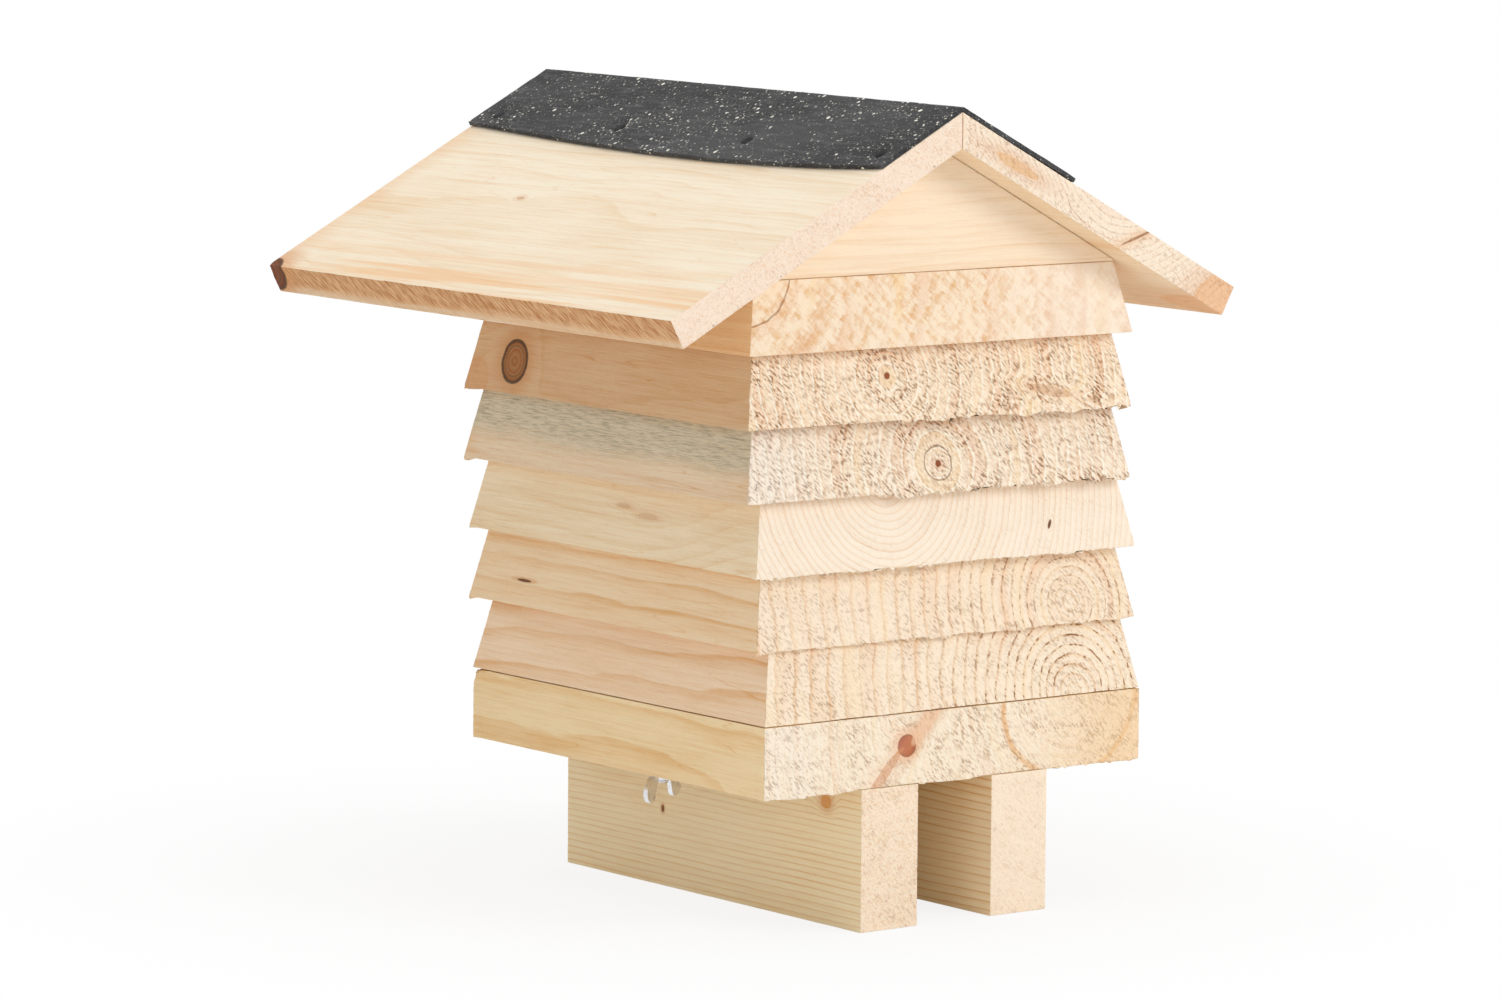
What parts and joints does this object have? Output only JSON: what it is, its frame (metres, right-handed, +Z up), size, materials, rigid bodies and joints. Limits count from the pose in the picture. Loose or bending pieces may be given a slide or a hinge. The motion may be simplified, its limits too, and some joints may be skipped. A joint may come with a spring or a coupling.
{
  "type": "solitary bee hive",
  "caption": "Bevelled softwood tiers with nest channels, clamped on a railed plinth by wing-nutted bolts under a mitred board roof with a felt ridge strip.",
  "frame": {"origin": "on the floor under the middle of the roof", "axes": "+X to the right across the blind gable, +Y back along the ridge to the nest gable, +Z up"},
  "size_m": [0.2986, 0.3074, 0.3409],
  "materials": {
    "sawn_pine": "rough-sawn, untreated",
    "roof_pine": "planed, untreated",
    "rail_pine": "planed, untreated",
    "roofing_felt": "bitumen felt with pale mineral specks",
    "screw_steel": "yellow zinc plated",
    "nail_steel": "dull galvanised",
    "zinc_plate": "bright zinc plated"
  },
  "bodies": {
    "stand": {"foot_rail_left": "rail_pine", "foot_rail_right": "rail_pine", "plinth_board": "sawn_pine", "rail_screws": "screw_steel"},
    "washer_left": {"washer_left": "zinc_plate"},
    "wing_nut_left": {"wing_nut_left": "zinc_plate"},
    "washer_right": {"washer_right": "zinc_plate"},
    "wing_nut_right": {"wing_nut_right": "zinc_plate"},
    "tier_6": {"tier_6": "sawn_pine"},
    "tier_5": {"tier_5": "sawn_pine"},
    "tier_4": {"tier_4": "sawn_pine"},
    "tier_3": {"tier_3": "sawn_pine"},
    "tier_2": {"tier_2": "sawn_pine"},
    "roof_lid": {"tier_1": "sawn_pine", "gable_board_blind": "roof_pine", "gable_board_nest": "roof_pine", "gable_screws": "screw_steel", "roof_board_left": "roof_pine", "roof_board_right": "roof_pine", "roof_nails": "nail_steel", "ridge_felt": "roofing_felt", "felt_nails": "nail_steel", "coach_bolt_left": "zinc_plate", "coach_bolt_right": "zinc_plate"}
  },
  "joints": [
    {"name": "tier_6_lift", "type": "slide", "parent": "stand", "child": "tier_6", "axis": [0, 0, 1], "range_m": [0, 0.05]},
    {"name": "tier_5_lift", "type": "slide", "parent": "tier_6", "child": "tier_5", "axis": [0, 0, 1], "range_m": [0, 0.05]},
    {"name": "tier_4_lift", "type": "slide", "parent": "tier_5", "child": "tier_4", "axis": [0, 0, 1], "range_m": [0, 0.05]},
    {"name": "tier_3_lift", "type": "slide", "parent": "tier_4", "child": "tier_3", "axis": [0, 0, 1], "range_m": [0, 0.05]},
    {"name": "tier_2_lift", "type": "slide", "parent": "tier_3", "child": "tier_2", "axis": [0, 0, 1], "range_m": [0, 0.05]},
    {"name": "roof_lid_lift", "type": "slide", "parent": "tier_2", "child": "roof_lid", "axis": [0, 0, 1], "range_m": [0, 0.2]},
    {"name": "washer_left_drop", "type": "slide", "parent": "stand", "child": "washer_left", "axis": [0, 0, -1], "range_m": [0, 0.007]},
    {"name": "wing_nut_left_turn", "type": "hinge", "parent": "washer_left", "child": "wing_nut_left", "pos_m": [-0.07227, -0.03999, 0.05], "axis": [0, 0, -1], "range_deg": [0, 2520]},
    {"name": "washer_right_drop", "type": "slide", "parent": "stand", "child": "washer_right", "axis": [0, 0, -1], "range_m": [0, 0.007]},
    {"name": "wing_nut_right_turn", "type": "hinge", "parent": "washer_right", "child": "wing_nut_right", "pos_m": [0.07773, -0.03999, 0.05], "axis": [0, 0, -1], "range_deg": [0, 2520]}
  ],
  "couplings": [
    {"joint": "washer_left_drop", "follows": "wing_nut_left_turn", "m_per_rad": 0.00015915},
    {"joint": "washer_right_drop", "follows": "wing_nut_right_turn", "m_per_rad": 0.00015915}
  ]
}
